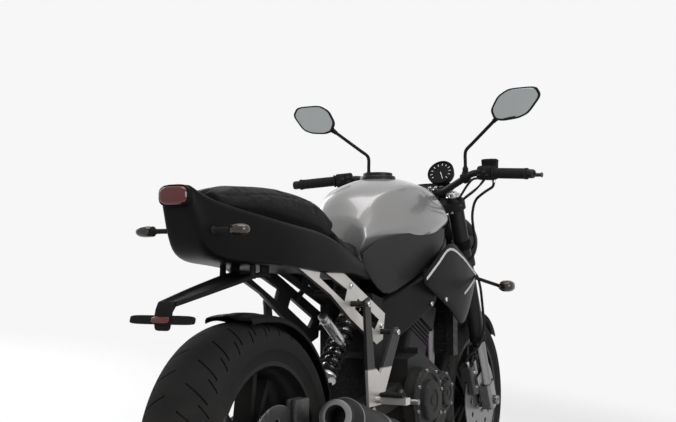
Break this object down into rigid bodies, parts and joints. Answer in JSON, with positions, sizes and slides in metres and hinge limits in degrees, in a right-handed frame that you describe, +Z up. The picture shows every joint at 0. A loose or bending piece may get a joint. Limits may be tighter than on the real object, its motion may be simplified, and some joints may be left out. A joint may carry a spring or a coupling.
{
  "type": "standard motorcycle",
  "caption": "Standard motorcycle with a parallel twin engine, chain drive and naked bodywork, leaning on its side stand, with turning wheels, steering, folding stand and hinged filler cap.",
  "frame": {"origin": "centre of the bounding box's base, on the ground", "axes": "+X forward along the machine, +Y to the rider's left, +Z up; the machine leans 8 degrees to +Y"},
  "size_m": [2.0742, 0.9032, 1.3772],
  "materials": {
    "frame_black": "satin black paint",
    "wheel_black": "satin black paint",
    "tyre_rubber": "matt rubber",
    "casting_silver": "warm silver cast finish",
    "tank_grey": "grey metallic lacquer",
    "panel_black": "semi-gloss black",
    "trim_black": "matt black",
    "engine_black": "satin black castings",
    "exhaust_steel": "brushed stainless steel",
    "steel": "machined steel",
    "chain_steel": "oiled steel",
    "fork_dark": "anodised black",
    "leg_steel": "polished steel",
    "caliper_black": "satin black",
    "spring_black": "black spring",
    "seat_vinyl": "grained black vinyl",
    "grip_rubber": "ribbed rubber",
    "hose_rubber": "smooth black rubber",
    "mirror_silver": "silvered glass",
    "display_glass": "dark screen",
    "lamp_glass": "clear lens",
    "tail_red": "red lens",
    "signal_smoke": "smoked amber lens"
  },
  "bodies": {
    "frame": {"main_frame": "frame_black", "subframe": "casting_silver", "swingarm": "frame_black", "pivot_pin": "frame_black", "shock_absorber": "spring_black", "crankcase": "engine_black", "cylinder_block": "engine_black", "engine_covers": "engine_black", "exhaust_headers": "exhaust_steel", "muffler": "exhaust_steel", "radiator": "frame_black", "radiator_shrouds": "panel_black", "fuel_tank": "tank_grey", "side_covers": "panel_black", "rider_seat": "seat_vinyl", "pillion_seat": "seat_vinyl", "tail_cowl": "panel_black", "tail_light": "tail_red", "rear_fender": "trim_black", "rear_signals": "signal_smoke", "front_signals": "signal_smoke", "rear_hugger": "trim_black", "rear_caliper": "caliper_black", "rear_axle": "steel", "drive_chain": "chain_steel", "footrests": "casting_silver", "foot_controls": "steel"},
    "filler_cap": {"fuel_cap": "fork_dark"},
    "stand": {"side_stand": "steel"},
    "fork": {"fork_yokes": "frame_black", "fork_tubes": "fork_dark", "fork_legs": "leg_steel", "front_axle": "steel", "front_calipers": "caliper_black", "front_fender": "trim_black", "handlebar": "fork_dark", "grips": "grip_rubber", "control_pods": "trim_black", "levers": "caliper_black", "brake_hoses": "hose_rubber", "mirrors": "trim_black", "mirror_glasses": "mirror_silver", "display": "display_glass", "headlight_shell": "panel_black", "headlight_lens": "lamp_glass"},
    "front_wheel": {"front_tyre": "tyre_rubber", "front_rim": "wheel_black", "front_discs": "steel"},
    "rear_wheel": {"rear_tyre": "tyre_rubber", "rear_rim": "wheel_black", "rear_sprocket": "chain_steel", "rear_disc": "steel"}
  },
  "joints": [
    {"name": "steering", "type": "hinge", "parent": "frame", "child": "fork", "pos_m": [0.43141, -0.04923, 0.86159], "axis": [-0.4226, 0.1261, 0.8975], "range_deg": [-33, 33]},
    {"name": "front_wheel_spin", "type": "hinge", "parent": "fork", "child": "front_wheel", "pos_m": [0.73713, -0.12857, 0.29708], "axis": [0, 0.9903, -0.1392], "continuous": true},
    {"name": "rear_wheel_spin", "type": "hinge", "parent": "frame", "child": "rear_wheel", "pos_m": [-0.71787, -0.12648, 0.31193], "axis": [0, 0.9903, -0.1392], "continuous": true},
    {"name": "side_stand_fold", "type": "hinge", "parent": "frame", "child": "stand", "pos_m": [-0.11787, -0.0071, 0.24164], "axis": [0.0803, 0.913, 0.4], "range_deg": [0, 99]},
    {"name": "filler_cap_lid", "type": "hinge", "parent": "frame", "child": "filler_cap", "pos_m": [0.09413, -0.02391, 1.04176], "axis": [0, 0.9903, -0.1392], "range_deg": [0, 100]}
  ]
}
